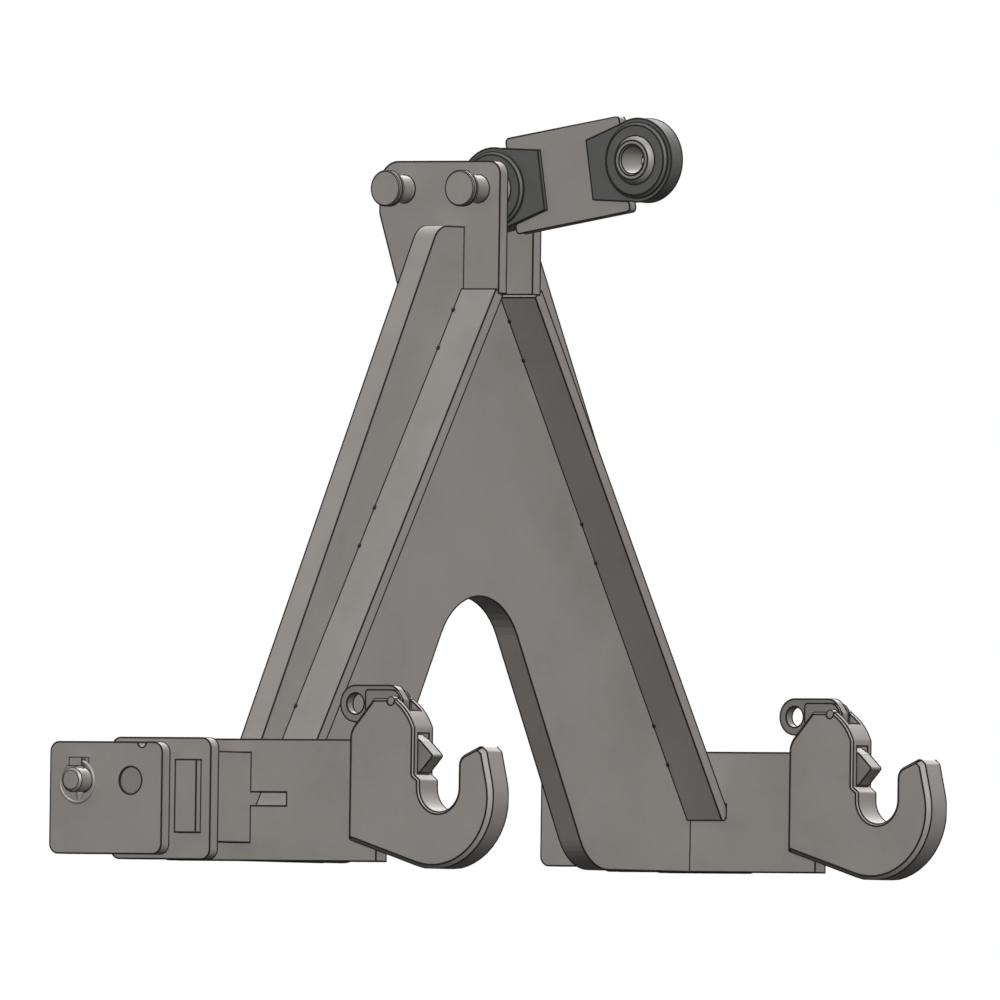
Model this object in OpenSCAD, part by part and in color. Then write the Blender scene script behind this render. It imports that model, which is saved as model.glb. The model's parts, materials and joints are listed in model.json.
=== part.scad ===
/* [Main plate] */
// Thickness of the main plate
main_t = 30; // [24:1:32]
// Height of the two horns beside the mast
horn_z = 741; // [725:1:755]
// Height of the plate between the mast plates
saddle_z = 712; // [690:1:725]
// Radius of the horns' outer corners
horn_r = 28; // [10:1:34]
// Outward run of the outer edges per unit of height
edge_slope = 0.555; // [0.54:0.005:0.57]
// Top of the arched cut-out
arch_z = 313.5; // [290:0.5:330]
// Radius of the arch
arch_r = 86; // [70:1:92]
// Angle of the cut-out's legs from the vertical
leg_angle = 29; // [27:0.5:30]
// Radius of the legs' lower inner corners
leg_r = 65; // [40:1:75]

/* [Arms and plates] */
// Half distance between the arms' inner faces
arm_x = 425; // [415:1:435]
// Thickness of the arms
arm_t = 20; // [16:1:24]
// Height of the arms
arm_h = 139.5; // [132:0.5:150]
// Rear end of the arms, behind the main plate's front
arm_back = 127; // [120:1:135]
// Front end of the arms
arm_front = 180; // [175:1:184]
// Corner radius of the plates
corner_r = 12; // [4:1:16]
// Free space between arm and outer plate
bay_w = 82.3; // [75:0.1:95]
// Thickness of the outer plates, cheeks and mast plates
thin_t = 15; // [12:1:18]
// Front end of the outer plates
outer_front = 14; // [8:1:30]

/* [Lower clevis] */
// Rear end of the cheeks
cheek_back = 204; // [195:1:215]
// Front end of the cheeks
cheek_front = 44.4; // [38:0.2:50]
// Gap between the cheeks' lower edge and the arms' lower edge
cheek_low = 5.5; // [4:0.5:8]
// Height of the lower pins and spacer bars
clevis_z = 90; // [80:1:96]
// Distance of the lower pins behind the front face
lower_pin_back = 158.2; // [152:0.2:164]
// Diameter of the lower pins
lower_pin_d = 28; // [24:0.5:32]
// Distance of the spacer bars behind the front face
bar_back = 89.3; // [80:0.1:96]
// Diameter of the spacer bars
bar_d = 32; // [26:1:36]

/* [Flanges] */
// Width of the flanges, forward of the main plate
flange_w = 50; // [40:1:50]
// Half distance across the flanges' top corners
flange_top_x = 45; // [43:0.5:48]
// Height of the flanges' top corners
flange_top_z = 669; // [666:0.5:672]
// Height where the flanges' outer faces meet the arms
flange_foot_z = 78; // [74:0.5:90]

/* [Mast] */
// Gap between the mast plates
mast_gap = 52; // [52:0.5:58]
// Front edge of the mast plates
mast_front = 50.5; // [50:0.5:56]
// Rear edge of the mast plates, behind the front face
mast_back = 121.5; // [115:0.5:130]
// Top of the mast plates
mast_z = 817; // [812:1:825]
// Height where the rear edge starts to slope
mast_bend_z = 757; // [745:1:765]
// Foot of the mast plates behind the main plate
mast_foot_z = 478; // [440:1:520]
// Height of the upper pins
upper_pin_z = 785; // [780:0.5:790]
// Diameter of the upper pins
upper_pin_d = 31.75; // [30:0.05:32]
// Distance of the front upper pin before the front face
front_pin_f = 19.3; // [16:0.1:22]
// Distance of the rear upper pin behind the front face
rear_pin_back = 87; // [82:0.5:92]

/* [Top link] */
// Distance between the two eyes
link_l = 207.8; // [200:0.1:225]
// Rest angle of the top link above the horizontal
link_angle = 9.3; // [0:0.1:20]
// Height of the link plate
link_h = 112; // [104:1:120]
// Thickness of the link plate
link_t = 12; // [10:1:16]
// Outer diameter of the eyes
eye_d = 97; // [94:1:98]
// Thickness of the eyes' rings and tongues
eye_t = 22; // [20:1:26]
// Width across the eyes' bosses
boss_w = 32; // [30:0.5:36]
// Radius of the balls
ball_r = 32; // [31:0.1:33]
// Width of the balls
ball_w = 45; // [42:0.5:51]
// Distance from an eye's centre to the end of its tongue
link_notch = 69; // [64:1:74]
// Half width of the tongues' ends
tongue_half = 35; // [31:1:38]

/* [Hooks] */
// Width of the hooks
hook_w = 40; // [38:0.5:48]
// Rear edge of the hooks
hook_back = 147.3; // [144:0.1:152]
// Upright front face of the hooks, above the jaw
hook_face = 238; // [236:0.5:240]
// Top of the hooks
hook_top_z = 187; // [184:0.5:190]
// Radius of the jaw's seat
jaw_r = 28.2; // [28.2:0.1:30]
// Height of the seat's centre
jaw_z = 85.3; // [84:0.1:87]
// Radius of the hook's outer curve
crook_r = 82.2; // [76:0.1:84]
// Drop from the seat's centre to the hooks' rear lower corners
heel_drop = 61; // [58:0.1:63]
// Thickness of the hooks' tips at their top
tip_w = 36.4; // [32:0.1:40]
// Height of the hooks' tips above the seat's centre
tip_rise = 47.4; // [44:0.1:50]
// Angle of the tips' front faces from the vertical
tip_slant = 13.4; // [8:0.1:16]
// Angle of the hooks' soles below the horizontal
sole_angle = 16.8; // [14:0.1:18]
// Width of the chamfers along the hooks' outer curve and tip
outer_chamfer = 5.5; // [3:0.1:6]
// Width of the chamfers along the hooks' other edges
inner_chamfer = 2.5; // [1:0.1:3]

/* [Latches] */
// Width of the latches
latch_w = 20; // [16:0.5:20]
// Thickness of the release levers
lever_t = 12; // [8:0.5:12]
// Diameter of the latches' pivot pins
pivot_d = 10; // [8:0.5:11]
// Diameter of the hole in the release lever's ring
ring_hole_d = 24.5; // [20:0.5:26]
// Wire diameter of the latch springs
spring_wire = 2.2; // [1.8:0.1:2.6]

/* [Linch pins] */
// Diameter of the linch pins
linch_d = 9; // [8:0.5:9.5]
// Wire diameter of the snap rings
ring_wire = 3.6; // [3:0.1:4]

/* [Hidden] */
$fn = 96;

steel = [0.51, 0.50, 0.48];
dark_steel = [0.31, 0.31, 0.30];
bright_steel = [0.66, 0.65, 0.62];

run_gap = 0.05;
face_gap = 0.3;
big = 400;

outer_x = arm_x + arm_t + bay_w;
cheek_x = outer_x + thin_t;
clevis_out = cheek_x + thin_t;
bay_bottom = 0.148 * arm_h;
stub_h = 0.745 * arm_h;
tenon_h = 0.6 * arm_h;
tenon_z = bay_bottom + (stub_h - tenon_h) / 2;
tenon_out = 9;
mast_in = mast_gap / 2;
mast_out = mast_in + thin_t;

flange_slope = (arm_x - flange_top_x) / (flange_top_z - flange_foot_z);
flange_run = thin_t * sqrt(1 + pow(flange_slope, 2));
flange_cos = 1 / sqrt(1 + pow(flange_slope, 2));
seat_z = flange_top_z - 5;
foot_low = flange_foot_z - 18;
foot_pocket = flange_foot_z - 15;

hook_x = arm_x + arm_t / 2;
jaw_back = hook_face + 8;
tip_in = jaw_back + 2 * jaw_r;
tip_out = tip_in + tip_w;
tip_z = jaw_z + tip_rise;
shoulder_z = tip_z - 5.3;
heel_z = jaw_z - heel_drop;
ledge_z = jaw_z + 14.7;
crook_z = (heel_z - tan(sole_angle) * (tip_out + shoulder_z * tan(tip_slant)
    - hook_back)) / (1 - tan(sole_angle) * tan(tip_slant));
crook_f = tip_out + (shoulder_z - crook_z) * tan(tip_slant);
window_low = ledge_z + 1;
window_high = window_low + 45;
cavity_w = latch_w + 2;
pivot_f = hook_face - 33;
pivot_z = hook_top_z - 2.5;
// Each corner of the hook's side outline as [forward, up, radius, chamfer after it]
hook_corners = [[hook_back, heel_z, 3, outer_chamfer - 1],
    [crook_f, crook_z, crook_r, outer_chamfer],
    [tip_out, shoulder_z, 3, outer_chamfer],
    [tip_out - 6.6, tip_z, 3, inner_chamfer],
    [tip_in, tip_z - 13.2, 14, inner_chamfer],
    [tip_in, jaw_z - jaw_r, jaw_r - 0.01, inner_chamfer],
    [jaw_back, jaw_z - jaw_r, jaw_r - 0.01, inner_chamfer],
    [jaw_back, ledge_z - 6, 3, inner_chamfer],
    [hook_face, ledge_z, 1.5, inner_chamfer],
    [hook_face, hook_top_z - 32.5, 10, inner_chamfer],
    [hook_face - 10, hook_top_z - 11.5, 66, inner_chamfer],
    [pivot_f + 4.5, hook_top_z, 2, inner_chamfer],
    [hook_back + 33.2, hook_top_z, 5, inner_chamfer],
    [hook_back, hook_top_z - 37, 25, inner_chamfer]];
hook_line = outline(hook_corners);
spring_z = window_low + 11;
latch_heel = hook_face - 22;

tongue_r = eye_d / 2 - 0.5;
tongue_reach = norm([link_notch, tongue_half]);
tongue_angle = 90 - atan2(tongue_half, link_notch) - acos(tongue_r / tongue_reach);
socket_r = ball_r + face_gap;

shift_y = (max([for (p = hook_line) p.x]) - cheek_back) / 2;
lift_z = -min([for (p = hook_line) p.y]);

// Unit vector along v
function unit(v) = v / norm(v);

// Arc that rounds the corner b between a and c with radius r
function fillet(a, b, c, r) =
    let (u = unit(a - b), v = unit(c - b),
        half = acos(u * v) / 2,
        centre = b + unit(u + v) * r / sin(half),
        from = b + u * r / tan(half) - centre,
        to = b + v * r / tan(half) - centre,
        start = atan2(from.y, from.x),
        sweep = (atan2(to.y, to.x) - start + 540) % 360 - 180,
        steps = max(2, ceil(abs(sweep) / 7.5)))
    [for (i = [0:steps]) centre + r * [cos(start + sweep * i / steps),
        sin(start + sweep * i / steps)]];

// Outline from corners written [x, y, radius]
function outline(corners) =
    let (n = len(corners), flat = [for (p = corners) [p.x, p.y]])
    [for (i = [0:n - 1]) each corners[i].z == 0 ? [flat[i]]
        : fillet(flat[(i + n - 1) % n], flat[i], flat[(i + 1) % n], corners[i].z)];

// Corners of a rectangle with one radius
function box_corners(x0, y0, x1, y1, r) =
    [[x0, y0, r], [x1, y0, r], [x1, y1, r], [x0, y1, r]];

// Corners mirrored to the other side, in reverse order
function reflected(corners) =
    [for (i = [len(corners) - 1:-1:0]) [-corners[i].x, corners[i].y, corners[i].z]];

// Moves the model so that its origin is the centre of its footprint
module placed() {
    translate([0, shift_y, lift_z]) children();
}

// Child as drawn for the right side, or mirrored for the left side
module on_side(side) {
    placed() {
        if (side > 0) children();
        else mirror([1, 0, 0]) children();
    }
}

// Plate in the side plane, its outline in [forward, up], from x0 to x0 + t
module side_plate(x0, t) {
    translate([x0 + t, 0, 0]) rotate([90, 0, -90]) linear_extrude(t) children();
}

// Plate in the front plane, its outline in [across, up], from f0 to f0 + t
module front_plate(f0, t) {
    translate([0, -f0, 0]) rotate([90, 0, 0]) linear_extrude(t) children();
}

// Round bar along X at [forward, up], from x0 to x1
module cross_bar(f, z, d, x0, x1) {
    translate([x0, -f, z]) rotate([0, 90, 0]) cylinder(h = x1 - x0, d = d);
}

// Round bar along X with a chamfer on its far end
module cross_pin(f, z, d, x0, x1, chamfer) {
    cross_bar(f, z, d, x0, x1 - chamfer);
    translate([x1 - chamfer, -f, z]) rotate([0, 90, 0])
        cylinder(h = chamfer, d1 = d, d2 = d - 2 * chamfer);
}

module main_plate() {
    top_x = arm_x - edge_slope * (horn_z - arm_h);
    apex_z = arch_z + arch_r / sin(leg_angle) - arch_r;
    leg_x = apex_z * tan(leg_angle);
    half = [[leg_x, 0, leg_r], [arm_x, 0, 0], [arm_x, bay_bottom, 0],
        [outer_x, bay_bottom, 0], [outer_x, tenon_z, 0],
        [cheek_x + tenon_out, tenon_z, 0],
        [cheek_x + tenon_out, tenon_z + tenon_h, 0],
        [outer_x, tenon_z + tenon_h, 0], [outer_x, bay_bottom + stub_h, 0],
        [arm_x, bay_bottom + stub_h, 0], [arm_x, arm_h, 0],
        [top_x, horn_z, horn_r], [mast_out, horn_z, 0],
        [mast_out, seat_z, 0], [mast_in, seat_z, 0], [mast_in, saddle_z, 0]];
    color(steel) placed() front_plate(-main_t, main_t)
        polygon(outline(concat(half, reflected(half), [[0, apex_z, arch_r]])));
}

module mast_plate(side) {
    corners = [[mast_front, seat_z, 0], [mast_front, mast_z, 15],
        [-mast_back, mast_z, 26], [-mast_back, mast_bend_z, 0],
        [-main_t, mast_foot_z, 0], [-main_t, seat_z, 0]];
    color(steel) on_side(side) difference() {
        side_plate(mast_in, thin_t) polygon(outline(corners));
        for (f = [front_pin_f, -rear_pin_back])
            cross_bar(f, upper_pin_z, upper_pin_d + 2 * run_gap, 0, big);
    }
}

module flange(side) {
    // Sideways place of the outer face at height z
    function face(z) = flange_top_x + flange_slope * (flange_top_z - z);
    // Height of the square end at distance x from the middle
    function end(x) = flange_top_z - (flange_top_x - x) * flange_slope;
    inner_top = flange_top_x - thin_t * flange_cos;
    seat_x = flange_top_x - (flange_top_z - seat_z) / flange_slope;
    corners = [[face(foot_low) - flange_run, foot_low], [arm_x, foot_low],
        [arm_x, foot_pocket], [face(foot_pocket), foot_pocket],
        [flange_top_x, flange_top_z], [mast_out, end(mast_out)],
        [mast_out, seat_z], [seat_x, seat_z], [inner_top, end(inner_top)]];
    color(steel) on_side(side) front_plate(0, flange_w) polygon(corners);
}

module arm(side) {
    corners = [[-arm_back, 0, corner_r], [arm_front, 0, 0],
        [arm_front, arm_h, 0], [-arm_back, arm_h, corner_r]];
    color(steel) on_side(side) difference() {
        side_plate(arm_x, arm_t) polygon(outline(corners));
        side_plate(0, big * 2) polygon(outline(box_corners(
            -main_t, bay_bottom, 0, bay_bottom + stub_h, 0)));
        side_plate(0, big * 2) polygon(outline(box_corners(
            0, foot_pocket, flange_w + 1.6, flange_foot_z + 1, 0)));
        cross_bar(-bar_back, clevis_z, bar_d, 0, big * 2);
    }
}

module outer_plate(side) {
    color(steel) on_side(side) difference() {
        side_plate(outer_x, thin_t) polygon(outline(box_corners(
            -arm_back, 0, outer_front, arm_h, corner_r)));
        side_plate(0, big * 2) polygon(outline(box_corners(
            -main_t, tenon_z, 0, tenon_z + tenon_h, 0)));
        cross_bar(-bar_back, clevis_z, bar_d, 0, big * 2);
    }
}

// Rear cheek of the lower clevis, its inner face at x0
module cheek(side, x0) {
    notch_f = -cheek_front - 29;
    color(steel) on_side(side) difference() {
        side_plate(x0, thin_t) polygon(outline(box_corners(-cheek_back,
            cheek_low, -cheek_front, arm_h - cheek_low, corner_r)));
        cross_bar(notch_f, arm_h - cheek_low, 12, 0, big * 2);
        cross_bar(-bar_back, clevis_z, bar_d, 0, big * 2);
        cross_bar(-lower_pin_back, clevis_z, lower_pin_d + 2 * run_gap, 0, big * 2);
    }
}

module spacer_bar(side) {
    recess = 1.5;
    color(steel) on_side(side) cross_bar(-bar_back, clevis_z, bar_d,
        arm_x - thin_t + recess, clevis_out - recess);
}

// Corner i of the hook moved inward by the chamfers of its two edges
function inset_corner(i) =
    let (n = len(hook_corners), p = [for (k = [i + n - 1, i, i + 1])
            [hook_corners[k % n].x, hook_corners[k % n].y]],
        e = unit(p[1] - p[0]), g = unit(p[2] - p[1]), turn = cross(e, g),
        d = hook_corners[(i + n - 1) % n][3], w = hook_corners[i][3],
        r = hook_corners[i].z, mid = (d + w) / 2,
        q = p[1] + (d * g - w * e) / turn)
    [q.x, q.y, turn > 0 ? max(0.4, r - mid) : r + mid];

// Depth of the chamfer at each point of the hook's outline
function chamfer_depths() =
    let (n = len(hook_corners), flat = [for (p = hook_corners) [p.x, p.y]])
    [for (i = [0:n - 1])
        let (a = (i + n - 1) % n, arc = fillet(flat[a], flat[i],
                flat[(i + 1) % n], hook_corners[i].z), last = len(arc) - 1,
            d = hook_corners[a][3], w = hook_corners[i][3])
        for (k = [0:last]) d + (w - d) * k / last];

// Hook without its cavity: two inset faces and the full outline between them
module hook_blank() {
    inset = outline([for (i = [0:len(hook_corners) - 1]) inset_corner(i)]);
    depth = chamfer_depths();
    n = len(hook_line);
    near = hook_x - hook_w / 2;
    far = hook_x + hook_w / 2;
    points = concat([for (p = inset) [near, -p.x, p.y]],
        [for (i = [0:n - 1]) [near + depth[i], -hook_line[i].x, hook_line[i].y]],
        [for (i = [0:n - 1]) [far - depth[i], -hook_line[i].x, hook_line[i].y]],
        [for (p = inset) [far, -p.x, p.y]]);
    walls = [for (k = [0:2]) for (i = [0:n - 1])
        let (a = k * n + i, b = k * n + (i + 1) % n)
        each [[a, b, b + n], [a, b + n, a + n]]];
    near_face = [for (i = [n - 1:-1:0]) i];
    far_face = [for (i = [0:n - 1]) 3 * n + i];
    polyhedron(points, concat([near_face], walls, [far_face]));
}

// Space inside the hook for latch and lever, in [forward, up]
module hook_cavity() {
    front = pivot_f + 17;
    polygon([[arm_front - 1, window_low - 10], [latch_heel, window_low - 10],
        [hook_face - 5, window_low - 2], [hook_face, window_low],
        [hook_face + 5, window_low], [hook_face + 5, window_high],
        [hook_face - 5, window_high + 4], [front, pivot_z],
        [front, hook_top_z + 20], [hook_back - 5, hook_top_z + 20],
        [hook_back - 5, arm_h + 1], [arm_front - 1, arm_h + 1]]);
}

module hook(side) {
    color(steel) on_side(side) difference() {
        hook_blank();
        side_plate(arm_x, arm_t) polygon(outline(box_corners(
            hook_back - 5, -20, arm_front, hook_top_z + 20, 0)));
        side_plate(hook_x - cavity_w / 2, cavity_w) hook_cavity();
        cross_bar(pivot_f, pivot_z, pivot_d, 0, big * 2);
    }
}

// Wedge that closes the jaw, with two cheeks that hold the lever
module latch(side) {
    fork_z = window_high + 2;
    rib_z = hook_top_z + 10.5;
    body = [[pivot_f - 43, rib_z, 4], [pivot_f - 43, rib_z - 24, 8],
        [pivot_f - 10, fork_z + 1, 10], [latch_heel, window_high - 20, 0],
        [latch_heel, window_low + 2, 3], [hook_face + 2.8, window_low + 1.5, 0],
        [hook_face + 21, window_low + 21, 2.5],
        [hook_face + 2.8, window_high - 7, 0], [hook_face - 9, window_high, 0],
        [pivot_f + 8, pivot_z - 12.5, 0], [pivot_f + 6, rib_z, 14]];
    color(bright_steel) on_side(side) difference() {
        side_plate(hook_x - latch_w / 2, latch_w) polygon(outline(body));
        side_plate(hook_x - lever_t / 2, lever_t) polygon(outline(box_corners(
            pivot_f - big, fork_z, pivot_f + big, rib_z + big, 0)));
        cross_bar(pivot_f, pivot_z, pivot_d + 2 * run_gap, 0, big * 2);
    }
}

module release_lever(side) {
    lug_f = pivot_f - 60;
    lug_z = pivot_z - 3;
    lug_r = 21;
    top_z = lug_z + lug_r;
    body = [[lug_f, top_z, 0], [pivot_f - 4, top_z, 16],
        [pivot_f + 8, pivot_z + 1.5, 4], [pivot_f + 8, pivot_z - 16.5, 4],
        [pivot_f - 9, pivot_z - 31.5, 6], [lug_f, lug_z - lug_r, 0]];
    color(bright_steel) on_side(side) difference() {
        union() {
            side_plate(hook_x - lever_t / 2, lever_t) polygon(outline(body));
            cross_bar(lug_f, lug_z, 2 * lug_r, hook_x - lever_t / 2,
                hook_x + lever_t / 2);
        }
        cross_bar(lug_f, lug_z, ring_hole_d, 0, big * 2);
        cross_bar(pivot_f, pivot_z, pivot_d + 2 * run_gap, 0, big * 2);
    }
}

module latch_pivot(side) {
    color(bright_steel) on_side(side) cross_bar(pivot_f, pivot_z, pivot_d,
        hook_x - hook_w / 2 + 1, hook_x + hook_w / 2 - 1);
}

// Coil spring between the arm's end and the latch
module latch_spring(side) {
    turns = 5;
    sides = 6;
    per_turn = 12;
    coil_r = 6;
    rings = turns * per_turn;
    length = latch_heel - arm_front - spring_wire - 2 * face_gap;
    points = [for (i = [0:rings]) for (k = [0:sides - 1])
        let (turn = 360 * i / per_turn, round = 360 * k / sides,
            r = coil_r + spring_wire / 2 * cos(round))
        [r * cos(turn), r * sin(turn),
            length * i / rings + spring_wire / 2 * sin(round)]];
    walls = [for (i = [0:rings - 1]) for (k = [0:sides - 1])
        let (a = i * sides + k, b = i * sides + (k + 1) % sides)
        [a, a + sides, b + sides, b]];
    start = [for (k = [0:sides - 1]) k];
    stop = [for (k = [sides - 1:-1:0]) rings * sides + k];
    color(bright_steel) on_side(side)
        translate([hook_x, -arm_front - face_gap - spring_wire / 2, spring_z])
        rotate([90, 0, 0]) polyhedron(points, concat([start], walls, [stop]));
}

// Places the child in the top link's own frame, with the front pin as origin
module on_link() {
    placed() translate([0, -front_pin_f, upper_pin_z])
        rotate([-link_angle, 0, 0]) children();
}

module link_plate() {
    tip = 22;
    edge = tongue_half + (link_notch - tip) * tan(tongue_angle);
    half = [[link_notch, -tongue_half, 0], [tip, -edge, 4],
        [tip, -link_h / 2, 5]];
    far = [for (p = reflected(half)) [p.x + link_l, p.y, p.z]];
    lower = concat(half, far);
    upper = [for (i = [len(lower) - 1:-1:0]) [lower[i].x, -lower[i].y, lower[i].z]];
    color(steel) on_link() side_plate(-link_t / 2, link_t)
        polygon(outline(concat(lower, upper)));
}

// Forged eye at distance u with a tongue along the link, mirrored where facing is 1
module eye(u, facing) {
    side_x = tongue_r * sin(tongue_angle);
    side_y = tongue_r * cos(tongue_angle);
    boss_r = eye_d / 2 - 8;
    bevel = 3.5;
    color(dark_steel) on_link() translate([0, -u, 0]) mirror([0, facing, 0])
        difference() {
            union() {
                side_plate(-eye_t / 2, eye_t) polygon([[side_x, side_y],
                    [link_notch, tongue_half], [link_notch, -tongue_half],
                    [side_x, -side_y]]);
                rotate([0, 90, 0]) rotate_extrude() polygon([
                    [0, -boss_w / 2], [boss_r, -boss_w / 2],
                    [boss_r + bevel, -boss_w / 2 + bevel],
                    [boss_r + bevel, -eye_t / 2], [eye_d / 2, -eye_t / 2],
                    [eye_d / 2, eye_t / 2], [boss_r + bevel, eye_t / 2],
                    [boss_r + bevel, boss_w / 2 - bevel],
                    [boss_r, boss_w / 2], [0, boss_w / 2]]);
            }
            sphere(r = socket_r);
        }
}

// Ball with a straight bore and chamfered bore ends
module ball(u, bore_d) {
    chamfer = 2;
    color(bright_steel) on_link() translate([0, -u, 0]) rotate([0, 90, 0])
        difference() {
            intersection() {
                sphere(r = ball_r);
                cylinder(h = ball_w, r = ball_r + 1, center = true);
            }
            cylinder(h = 2 * ball_w, d = bore_d, center = true);
            for (end = [0, 1]) mirror([0, 0, end])
                translate([0, 0, ball_w / 2 - chamfer])
                cylinder(h = chamfer + 1, d1 = bore_d, d2 = bore_d + 2 * chamfer + 2);
        }
}

upper_linch_x = mast_out + face_gap + 5.3;
upper_pin_end = upper_linch_x + 15;
lower_linch_x = clevis_out + 5.5;
lower_pin_end = clevis_out + 22.5;

module upper_pin(f) {
    head_x = -mast_out - 37.6;
    head_d = upper_pin_d + 10;
    head_l = 10;
    chamfer = 1.2;
    groove = 1.2;
    color(bright_steel) placed() difference() {
        union() {
            translate([head_x, -f, upper_pin_z]) rotate([0, 90, 0])
                rotate_extrude() polygon([[0, 0], [head_d / 2 - chamfer, 0],
                    [head_d / 2, chamfer], [head_d / 2, head_l / 2],
                    [head_d / 2 - groove, head_l / 2],
                    [head_d / 2 - groove, head_l / 2 + groove],
                    [head_d / 2, head_l / 2 + groove],
                    [head_d / 2, head_l - chamfer],
                    [head_d / 2 - chamfer, head_l], [0, head_l]]);
            cross_pin(f, upper_pin_z, upper_pin_d, head_x + head_l,
                upper_pin_end, 3);
        }
        translate([upper_linch_x, -f, upper_pin_z])
            cylinder(h = big, d = linch_d + 0.4, center = true);
    }
}

module lower_pin(side) {
    head_d = lower_pin_d + 12;
    head_l = 8;
    head_x = arm_x - thin_t - face_gap - head_l;
    color(bright_steel) on_side(side) difference() {
        union() {
            translate([head_x, lower_pin_back, clevis_z]) rotate([0, 90, 0])
                rotate_extrude() polygon([[0, 0], [head_d / 2 - 2, 0],
                    [head_d / 2, 2], [head_d / 2, head_l], [0, head_l]]);
            cross_pin(-lower_pin_back, clevis_z, lower_pin_d, head_x + head_l,
                lower_pin_end, 3);
        }
        translate([lower_linch_x, lower_pin_back, clevis_z])
            cylinder(h = big / 2, d = linch_d + 0.4, center = true);
    }
}

// Centre line of the snap ring: its radius for a pin of diameter d
function snap_r(d) = d / 2 + 10;
ring_side = 4.6;
ring_drop = 2;

// Height of the snap ring's hinge above a pin's centre
function hinge_z(d) = snap_r(d) - ring_drop - 0.9;

// Linch pin upright through the centre of a pin of diameter d
module linch(d) {
    block = [13.5, 18, 10];
    block_z = hinge_z(d) - block.z / 2;
    tip_z = -d / 2 - 13;
    difference() {
        union() {
            translate([0, 0, -d / 2 - 2]) cylinder(h = d / 2 + 2 + block_z, d = linch_d);
            translate([0, 0, tip_z]) cylinder(h = 11, d1 = 3.6, d2 = linch_d);
            translate([-5, -block.y / 2, block_z]) cube(block);
        }
        translate([ring_side, 0, hinge_z(d)]) rotate([90, 0, 0])
            cylinder(h = 40, r = ring_wire / 2 + 1.4, center = true, $fn = 48);
    }
}

module snap_ring(d) {
    translate([ring_side, 0, -ring_drop]) rotate([0, 90, 0]) rotate_extrude()
        translate([snap_r(d), 0]) circle(d = ring_wire, $fn = 32);
}

module upper_linch(f) {
    color(bright_steel) placed() translate([upper_linch_x, -f, upper_pin_z])
        linch(upper_pin_d);
}

module upper_ring(f) {
    color(bright_steel) placed() translate([upper_linch_x, -f, upper_pin_z])
        snap_ring(upper_pin_d);
}

module lower_linch(side) {
    color(bright_steel) on_side(side)
        translate([lower_linch_x, lower_pin_back, clevis_z]) linch(lower_pin_d);
}

module lower_ring(side) {
    color(bright_steel) on_side(side)
        translate([lower_linch_x, lower_pin_back, clevis_z]) snap_ring(lower_pin_d);
}

main_plate();
mast_plate(-1);  // mast_plate_left
mast_plate(1);  // mast_plate_right
flange(-1);  // flange_left
flange(1);  // flange_right
arm(-1);  // arm_left
arm(1);  // arm_right
outer_plate(-1);  // outer_plate_left
outer_plate(1);  // outer_plate_right
cheek(-1, cheek_x);  // outer_cheek_left
cheek(1, cheek_x);  // outer_cheek_right
cheek(-1, arm_x - thin_t);  // inner_cheek_left
cheek(1, arm_x - thin_t);  // inner_cheek_right
spacer_bar(-1);  // spacer_bar_left
spacer_bar(1);  // spacer_bar_right
hook(-1);  // hook_left
hook(1);  // hook_right
latch(-1);  // latch_left
latch(1);  // latch_right
release_lever(-1);  // release_lever_left
release_lever(1);  // release_lever_right
latch_pivot(-1);  // latch_pivot_left
latch_pivot(1);  // latch_pivot_right
latch_spring(-1);  // latch_spring_left
latch_spring(1);  // latch_spring_right
link_plate();
eye(0, 0);  // captive_eye
eye(link_l, 1);  // free_eye
ball(0, upper_pin_d + 2 * run_gap);  // captive_ball
ball(link_l, upper_pin_d + 0.45);  // free_ball
upper_pin(front_pin_f);  // upper_pin_front
upper_pin(-rear_pin_back);  // upper_pin_rear
upper_linch(front_pin_f);  // upper_linch_front
upper_linch(-rear_pin_back);  // upper_linch_rear
upper_ring(front_pin_f);  // upper_ring_front
upper_ring(-rear_pin_back);  // upper_ring_rear
lower_pin(-1);  // lower_pin_left
lower_pin(1);  // lower_pin_right
lower_linch(-1);  // lower_linch_left
lower_linch(1);  // lower_linch_right
lower_ring(-1);  // lower_ring_left
lower_ring(1);  // lower_ring_right
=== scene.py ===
import json
import math

import bmesh
import bpy
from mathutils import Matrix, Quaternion, Vector

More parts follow.
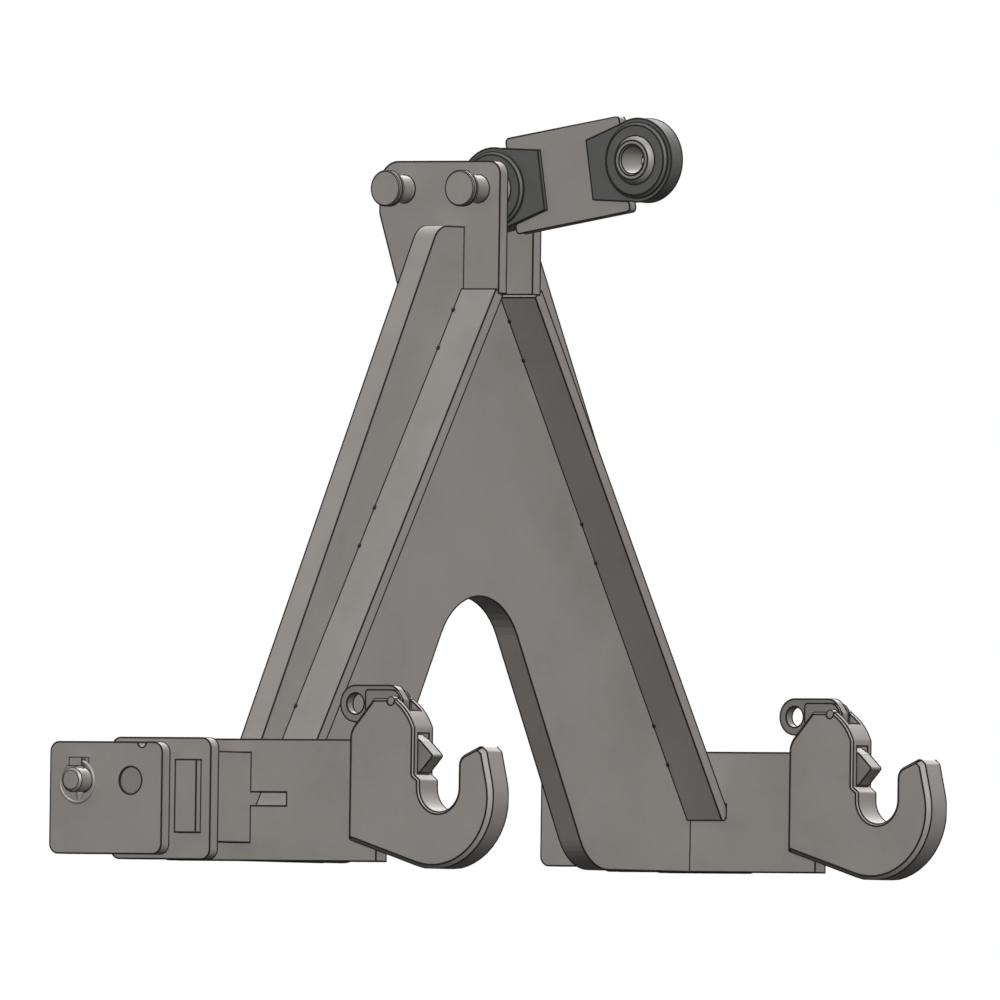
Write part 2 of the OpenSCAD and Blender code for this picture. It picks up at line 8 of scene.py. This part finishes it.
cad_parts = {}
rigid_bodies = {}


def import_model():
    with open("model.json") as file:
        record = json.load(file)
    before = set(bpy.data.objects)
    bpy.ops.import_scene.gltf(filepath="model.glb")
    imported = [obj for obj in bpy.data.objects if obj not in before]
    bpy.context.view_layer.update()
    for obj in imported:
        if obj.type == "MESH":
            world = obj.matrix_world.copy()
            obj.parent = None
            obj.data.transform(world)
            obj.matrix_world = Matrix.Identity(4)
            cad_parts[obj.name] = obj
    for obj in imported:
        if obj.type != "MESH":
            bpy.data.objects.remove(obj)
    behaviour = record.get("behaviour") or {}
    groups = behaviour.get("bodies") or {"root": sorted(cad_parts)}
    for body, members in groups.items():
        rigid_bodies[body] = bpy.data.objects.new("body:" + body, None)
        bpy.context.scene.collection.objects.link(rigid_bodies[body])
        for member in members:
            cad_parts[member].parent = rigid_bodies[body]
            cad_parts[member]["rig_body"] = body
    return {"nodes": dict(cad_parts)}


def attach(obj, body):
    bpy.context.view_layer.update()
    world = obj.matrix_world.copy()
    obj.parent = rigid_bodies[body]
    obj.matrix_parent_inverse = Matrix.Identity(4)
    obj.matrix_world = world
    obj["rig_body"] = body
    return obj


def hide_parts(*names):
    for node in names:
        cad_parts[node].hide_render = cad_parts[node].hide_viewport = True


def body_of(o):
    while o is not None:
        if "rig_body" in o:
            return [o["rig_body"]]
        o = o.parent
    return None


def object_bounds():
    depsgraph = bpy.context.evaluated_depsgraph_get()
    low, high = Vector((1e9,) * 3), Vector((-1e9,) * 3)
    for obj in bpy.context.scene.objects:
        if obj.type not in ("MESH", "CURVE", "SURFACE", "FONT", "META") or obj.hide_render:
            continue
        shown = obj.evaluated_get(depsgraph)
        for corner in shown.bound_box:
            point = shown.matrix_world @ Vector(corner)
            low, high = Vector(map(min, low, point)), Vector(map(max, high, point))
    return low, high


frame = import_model()
cad_low, cad_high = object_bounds()

# Nodes by the finish that they take
SIDES = ("left", "right")
PLATES = ["main_plate"] + [f"{name}_{side}" for side in SIDES for name in (
    "mast_plate", "flange", "arm", "outer_plate", "outer_cheek", "inner_cheek", "hook")]
PLATES.append("link_plate")
BARS = [f"spacer_bar_{side}" for side in SIDES]
LATCHES = [f"{name}_{side}" for side in SIDES for name in ("latch", "release_lever")]
EYES = ["captive_eye", "free_eye"]
BALLS = ["captive_ball", "free_ball"]
TURNED = [name for name in frame["nodes"] if name not in BARS + LATCHES
          and any(word in name for word in ("pin", "linch", "ring", "pivot"))]
HOOKS = [f"hook_{side}" for side in SIDES]

# Dark beads along the sharp edges, in metres
CORNER = math.radians(25)   # an edge sharper than this gets a bead
STRAIGHT = 0.8              # cosine of the bend up to which a bead runs on
LINE = 0.0011               # radius of a bead
TURNED_SHARE = 0.6          # of that radius, on pins and rings
BEAD_SIDES = 6
BEAD_SINK = 0.25            # how far a bead's centre lies below the edge, in radii
BEAD_REACH = 0.4            # how far it runs past its last point, in radii
SAME_POINT = 0.00001
SAME_HOOK_POINT = 0.00003
ON_SIDE = 0.000002          # off the flat side of a hook by less than this

# The flanges' tabs, in metres
TABS = ((0.6435, 0.5988), (0.4110, 0.3663), (0.1787, 0.1340))  # heights of their ends
SOURCE_ZERO = 0.0080913     # height above the floor that those heights start at
INNER_DROP = 0.0095         # how much lower a tab's end is on the flange's inner line
PLATE_T = 0.030             # thickness of the main plate
# a relief is drawn as a dark blob, which is painted shade for its hollow, not a cut
RELIEF_SHADE_RADIUS = 0.0026             # radius of a relief
RELIEF_SHADE_HALF = 0.0012        # half its length

# Camera, set so that the photo's projection is met
PX_PER_MM = 0.862
PHOTO_PX = 1000
FILM_MM = 36
LENS = 1650.0
AZIMUTH = -54.1
ELEVATION = -0.95
ROLL = 0.8
AIM = Vector((-0.0007, 0.0451, 0.4331))

# Light: strength and direction of the two suns, and the world's soft share
SUNS = (("key", 3.85, (4.0, 4.0, -3.2)), ("top", 3.6, (-3.0, -1.0, -4.0)))
SUN_ANGLE = math.radians(28)
SOFT_STRENGTH = 0.1
FLOOR_HALF = 6.0
FLOOR_DARK = (0.03, 0.03, 0.03, 1)
FLOOR_PALE = (0.8, 0.8, 0.8, 1)
WHITE = (1, 1, 1, 1)


def linear(grey_255):
    """Linear value of an sRGB colour channel from 0 to 255."""
    c = grey_255 / 255
    return c / 12.92 if c <= 0.04045 else ((c + 0.055) / 1.055) ** 2.4


def colour(channels):
    """Linear colour from three sRGB channels from 0 to 255."""
    return tuple(linear(channel) for channel in channels) + (1.0,)


class Nodes:
    """Short calls for one material's node tree."""

    def __init__(self, name):
        self.material = bpy.data.materials.new(name)
        self.material.use_nodes = True
        self.tree = self.material.node_tree
        self.shader = self.tree.nodes["Principled BSDF"]

    def add(self, kind, **values):
        node = self.tree.nodes.new(kind)
        for key, value in values.items():
            setattr(node, key, value)
        return node

    def link(self, start, end):
        self.tree.links.new(start, end)

    def noise(self, vector, scale, detail, rough):
        node = self.add("ShaderNodeTexNoise")
        node.inputs["Scale"].default_value = scale
        node.inputs["Detail"].default_value = detail
        node.inputs["Roughness"].default_value = rough
        self.link(vector, node.inputs["Vector"])
        return node.outputs["Fac"]

    def spread(self, value, low, high, to_low, to_high):
        node = self.add("ShaderNodeMapRange")
        for key, number in (("From Min", low), ("From Max", high),
                            ("To Min", to_low), ("To Max", to_high)):
            node.inputs[key].default_value = number
        self.link(value, node.inputs["Value"])
        return node.outputs["Result"]

    def math(self, operation, a, b):
        node = self.add("ShaderNodeMath", operation=operation)
        for socket, value in zip(node.inputs, (a, b)):
            if isinstance(value, (int, float)):
                socket.default_value = value
            else:
                self.link(value, socket)
        return node.outputs[0]

    def mix(self, factor, a, b):
        node = self.add("ShaderNodeMix", data_type="RGBA")
        self.link(factor, node.inputs["Factor"])
        for socket, value in ((node.inputs[6], a), (node.inputs[7], b)):
            if isinstance(value, tuple):
                socket.default_value = value
            else:
                self.link(value, socket)
        return node.outputs[2]

    def bump(self, height, strength, distance):
        node = self.add("ShaderNodeBump")
        node.inputs["Strength"].default_value = strength
        node.inputs["Distance"].default_value = distance
        self.link(height, node.inputs["Height"])
        self.link(node.outputs["Normal"], self.shader.inputs["Normal"])


def metal(name, tones, rough, metallic, grain, grain_height, stretch=(1.0, 1.0, 1.0)):
    """Bare steel: mottled mill scale, fine grain along stretch and small pits.

    The tones are its base, its light and its dark colour."""
    base, light, dark = (colour(tone) for tone in tones)
    made = Nodes(name)
    place = made.add("ShaderNodeTexCoord").outputs["Object"]
    mapping = made.add("ShaderNodeMapping")
    mapping.inputs["Scale"].default_value = stretch
    made.link(place, mapping.inputs["Vector"])
    cloud = made.noise(place, 9.0, 5.0, 0.6)
    fine = made.noise(mapping.outputs["Vector"], grain, 6.0, 0.65)
    speck = made.noise(place, 420.0, 3.0, 0.5)
    tone = made.mix(made.spread(cloud, 0.35, 0.65, 0.0, 1.0), dark, light)
    tone = made.mix(made.spread(fine, 0.35, 0.65, 0.25, 0.75), tone, base)
    pits = made.spread(speck, 0.27, 0.34, 0.7, 0.0)
    tone = made.mix(pits, tone, dark)
    made.link(tone, made.shader.inputs["Base Color"])
    made.link(made.spread(cloud, 0.3, 0.7, rough - 0.05, rough + 0.06),
              made.shader.inputs["Roughness"])
    made.shader.inputs["Metallic"].default_value = metallic
    made.shader.inputs["Specular IOR Level"].default_value = 0.35
    height = made.math("ADD", fine, made.math("MULTIPLY", speck, 0.5))
    made.bump(height, 0.35, grain_height)
    return made.material


plate = metal("plate_steel", ((136, 132, 128), (141, 137, 133), (129, 125, 121)),
              0.58, 0.15, 60.0, 0.00025)
# near-black finish for the edge beads, and painted shade in the reliefs at the flanges' tab
# ends
line_and_relief_shade = metal("line_and_relief_shade_steel", ((14, 13, 12), (18, 17, 16), (10, 10, 9)),
             0.9, 0.0, 90.0, 0.0002)
bar = metal("bar_steel", ((127, 125, 121), (134, 131, 127), (118, 116, 112)),
            0.5, 0.3, 80.0, 0.0002)
latch = metal("latch_steel", ((124, 122, 117), (133, 131, 126), (113, 111, 107)),
              0.5, 0.3, 80.0, 0.0002)
forged = metal("eye_steel", ((82, 82, 80), (88, 88, 86), (73, 73, 71)),
               0.6, 0.15, 45.0, 0.0005)
ball = metal("ball_steel", ((134, 131, 126), (141, 138, 133), (126, 123, 118)),
             0.5, 0.2, 160.0, 0.00008)
turned = metal("pin_steel", ((138, 135, 130), (147, 144, 139), (127, 124, 119)),
               0.5, 0.3, 160.0, 0.00008, stretch=(9.0, 1.0, 1.0))

FINISH = {}
for names, material in ((PLATES, plate), (BARS, bar), (LATCHES, latch), (EYES, forged),
                        (BALLS, ball), (TURNED, turned)):
    for name in names:
        FINISH[name] = material


def dress(name):
    """Gives a CAD node its material."""
    obj = frame["nodes"][name]
    obj.data.materials.clear()
    obj.data.materials.append(FINISH[name])


def add_piece(name, work, material, node_name):
    """Makes an object of a bmesh, on the body of a CAD node."""
    mesh = bpy.data.meshes.new(name)
    work.to_mesh(mesh)
    work.free()
    mesh.materials.append(material)
    piece = bpy.data.objects.new(name, mesh)
    bpy.context.scene.collection.objects.link(piece)
    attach(piece, body_of(frame["nodes"][node_name])[0])
    return piece


def mended_hook(name):
    """A hook's own piece: the CAD mesh with its two flat sides filled anew."""
    work = bmesh.new()
    work.from_mesh(frame["nodes"][name].data)
    bmesh.ops.remove_doubles(work, verts=work.verts, dist=SAME_HOOK_POINT)
    across = [vert.co.x for vert in work.verts]
    for side in (min(across), max(across)):
        flat = [face for face in work.faces
                if all(abs(vert.co.x - side) < ON_SIDE for vert in face.verts)]
        bmesh.ops.delete(work, geom=flat, context="FACES")
        rim = [edge for edge in work.edges if edge.is_boundary]
        bmesh.ops.edgeloop_fill(work, edges=rim)
    bmesh.ops.recalc_face_normals(work, faces=work.faces)
    for face in work.faces:
        face.smooth = True
    for edge in work.edges:
        edge.smooth = edge.calc_face_angle(0.0) < CORNER
    hook = add_piece(name + "_body", work, FINISH[name], name)
    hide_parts(name)
    return hook.data


def next_edge(corner, edge, sharp):
    """The sharp edge that goes on from a corner without a bend, or None."""
    others = [other for other in corner.link_edges if other in sharp and other is not edge]
    if len(others) != 1:
        return None
    before = corner.co - edge.other_vert(corner).co
    after = others[0].other_vert(corner).co - corner.co
    straight = before.normalized().dot(after.normalized()) > STRAIGHT
    return others[0] if straight else None


def sharp_chains(mesh):
    """Sharp edges of a mesh in chains: (points, ways out of the solid, closed)."""
    work = bmesh.new()
    work.from_mesh(mesh)
    bmesh.ops.remove_doubles(work, verts=work.verts, dist=SAME_POINT)
    sharp = {edge for edge in work.edges
             if len(edge.link_faces) == 2 and edge.calc_face_angle(0.0) > CORNER}
    done = set()
    chains = []
    for first in work.edges:
        if first not in sharp or first in done:
            continue
        done.add(first)
        corners = list(first.verts)
        edges = [first]
        closed = False
        for _ in range(2):  # from one end of the first edge, then from the other
            while not closed:
                following = next_edge(corners[-1], edges[-1], sharp)
                if following is None or following in done:
                    closed = following is not None and corners[0] is corners[-1]
                    break
                done.add(following)
                edges.append(following)
                corners.append(following.other_vert(corners[-1]))
            if closed:
                break
            corners.reverse()
            edges.reverse()
        outs = [sum((face.normal for face in edge.link_faces), Vector()) for edge in edges]
        if closed:
            corners.pop()
            ways = [outs[i - 1] + outs[i] for i in range(len(corners))]
        else:
            ways = [outs[max(i - 1, 0)] + outs[min(i, len(outs) - 1)]
                    for i in range(len(corners))]
        chains.append(([corner.co.copy() for corner in corners], ways, closed))
    work.free()
    return chains


def in_cad_box(place):
    """The place, moved into the CAD model's box where it lies outside."""
    return Vector(min(max(c, low), high)
                  for c, low, high in zip(place, cad_low, cad_high))


def tube(made, points, ways, closed, radius):
    """Adds a closed six-sided tube along a chain of points to a bmesh."""
    rings = []
    last = len(points) - 1
    for i, point in enumerate(points):
        if closed:
            along = points[(i + 1) % len(points)] - points[i - 1]
        else:
            along = points[min(i + 1, last)] - points[max(i - 1, 0)]
        along = along.normalized()
        up = (ways[i] - along * ways[i].dot(along)).normalized()
        side = along.cross(up)
        centre = point - up * radius * BEAD_SINK
        if not closed and i in (0, last):
            centre = centre + along * radius * (BEAD_REACH if i else -BEAD_REACH)
        ring = []
        for k in range(BEAD_SIDES):
            turn = math.radians(360 / BEAD_SIDES * (k + 0.5))
            place = centre + (up * math.cos(turn) + side * math.sin(turn)) * radius
            ring.append(made.verts.new(in_cad_box(place)))
        rings.append(ring)
    pairs = list(zip(rings, rings[1:]))
    if closed:
        pairs.append((rings[-1], rings[0]))
    for start, end in pairs:
        for k in range(BEAD_SIDES):
            after = (k + 1) % BEAD_SIDES
            made.faces.new((start[k], start[after], end[after], end[k]))
    if not closed:
        made.faces.new(list(reversed(rings[0])))
        made.faces.new(rings[-1])


def draw_lines(name, mesh):
    """Thin dark beads along a node's sharp edges, in one piece on its body."""
    chains = sharp_chains(mesh)
    if not chains:
        return
    made = bmesh.new()
    width = LINE * TURNED_SHARE if name in TURNED else LINE
    for points, ways, closed in chains:
        tube(made, points, ways, closed, width)
    add_piece("edges_" + name, made, line_and_relief_shade, name)


def flange_lines(side):
    """Outer and inner line of a flange on the plate's face, upper end first."""
    node = frame["nodes"]["flange_" + side]
    back = max(vert.co.y for vert in node.data.vertices)
    rim = sorted({tuple(round(c, 4) for c in vert.co) for vert in node.data.vertices
                  if vert.co.y > back - SAME_POINT})
    corners = [Vector(c) for c in rim]
    outer = (max(corners, key=lambda c: c.z), max(corners, key=lambda c: abs(c.x)))
    inner = (min(corners, key=lambda c: abs(c.x)),
             min(corners, key=lambda c: (round(c.z, 3), abs(c.x))))
    return outer, inner


def at_height(line, height):
    """The point of a line at a height above the floor."""
    high, low = line
    return low.lerp(high, (height - low.z) / (high.z - low.z))


def draw_tabs(side):
    """Painted shade for the reliefs at the ends of a flange's three tabs, as dark blobs in
    place of the reliefs' shaded hollows, and lines at the tabs' ends behind.
    """
    outer, inner = flange_lines(side)
    behind = Vector((0, PLATE_T, 0))
    out = Vector((0, 1, 0))
    made = bmesh.new()
    for top, bottom in TABS:
        ends = [(at_height(outer, z + SOURCE_ZERO),
                 at_height(inner, z + SOURCE_ZERO - INNER_DROP)) for z in (top, bottom)]
        for pair in ends:
            for line, point in zip((outer, inner), pair):
                along = (line[1] - line[0]).normalized() * RELIEF_SHADE_HALF
                # a short dark blob at each relief end: painted shade of the relief's hollow
                tube(made, [point - along, point + along], [out, out], False, RELIEF_SHADE_RADIUS)
        (a, b), (c, d) = ends
        ring = [point + behind for point in (a, b, d, c)]
        tube(made, ring, [out] * 4, True, LINE)
    add_piece("tab_lines_and_relief_shade_" + side, made, line_and_relief_shade, "flange_" + side)


def add_camera():
    """Far camera with a long lens, for the photo's nearly parallel projection."""
    data = bpy.data.cameras.new("camera")
    data.lens = LENS
    distance = LENS * PHOTO_PX / FILM_MM / PX_PER_MM / 1000
    data.clip_start = 1.0
    data.clip_end = 300.0
    camera = bpy.data.objects.new("camera", data)
    bpy.context.scene.collection.objects.link(camera)
    a, e = math.radians(AZIMUTH), math.radians(ELEVATION)
    back = Vector((math.sin(a) * math.cos(e), -math.cos(a) * math.cos(e), math.sin(e)))
    camera.location = AIM + back * distance
    camera.rotation_mode = "QUATERNION"
    turn = (-back).to_track_quat("-Z", "Y")
    camera.rotation_quaternion = turn @ Quaternion((0, 0, 1), math.radians(ROLL))
    bpy.context.scene.camera = camera


def add_lamp(name, energy, towards):
    """Far soft lamp that lights all parts alike and, as in the photo, casts no shadow."""
    data = bpy.data.lights.new(name, "SUN")
    data.energy = energy
    data.angle = SUN_ANGLE
    data.use_shadow = False
    lamp = bpy.data.objects.new(name, data)
    bpy.context.scene.collection.objects.link(lamp)
    lamp.rotation_mode = "QUATERNION"
    lamp.rotation_quaternion = Vector(towards).to_track_quat("-Z", "Y")


def add_floor():
    """Pale floor that is clear from below, because the camera is just under it."""
    mesh = bpy.data.meshes.new("floor")
    half = FLOOR_HALF
    mesh.from_pydata([(-half, -half, 0), (half, -half, 0), (half, half, 0), (-half, half, 0)],
                     [], [(0, 1, 2, 3)])
    floor = bpy.data.objects.new("floor", mesh)
    bpy.context.scene.collection.objects.link(floor)
    made = Nodes("floor_pale")
    made.shader.inputs["Roughness"].default_value = 0.9
    path = made.add("ShaderNodeLightPath")
    tone = made.mix(path.outputs["Is Camera Ray"], FLOOR_DARK, FLOOR_PALE)
    made.link(tone, made.shader.inputs["Base Color"])
    side = made.add("ShaderNodeNewGeometry")
    clear = made.add("ShaderNodeBsdfTransparent")
    choose = made.add("ShaderNodeMixShader")
    for start, socket in zip((side.outputs["Backfacing"], made.shader.outputs[0],
                              clear.outputs[0]), choose.inputs):
        made.link(start, socket)
    output = made.tree.nodes["Material Output"]
    made.link(choose.outputs[0], output.inputs["Surface"])
    floor.data.materials.append(made.material)


def add_world():
    """White to the camera, in reflections and through glass, weak light elsewhere."""
    world = bpy.data.worlds.new("world")
    bpy.context.scene.world = world
    world.use_nodes = True
    tree = world.node_tree
    path = tree.nodes.new("ShaderNodeLightPath")
    seen = path.outputs["Is Camera Ray"]
    for ray in ("Is Glossy Ray", "Is Transmission Ray"):
        either = tree.nodes.new("ShaderNodeMath")
        either.operation = "MAXIMUM"
        tree.links.new(seen, either.inputs[0])
        tree.links.new(path.outputs[ray], either.inputs[1])
        seen = either.outputs[0]
    soft = tree.nodes["Background"]
    white = tree.nodes.new("ShaderNodeBackground")
    for node, strength in ((soft, SOFT_STRENGTH), (white, 1.0)):
        node.inputs["Color"].default_value = WHITE
        node.inputs["Strength"].default_value = strength
    choose = tree.nodes.new("ShaderNodeMixShader")
    for start, socket in zip((seen, soft.outputs[0], white.outputs[0]), choose.inputs):
        tree.links.new(start, socket)
    tree.links.new(choose.outputs[0], tree.nodes["World Output"].inputs["Surface"])


for node_name in frame["nodes"]:
    dress(node_name)
for node_name, node in frame["nodes"].items():
    shown = mended_hook(node_name) if node_name in HOOKS else node.data
    draw_lines(node_name, shown)
for side_name in SIDES:
    draw_tabs(side_name)
add_camera()
add_floor()
add_world()
for lamp_name, energy, towards in SUNS:
    add_lamp(lamp_name, energy, towards)
bpy.context.scene.view_settings.view_transform = "Standard"
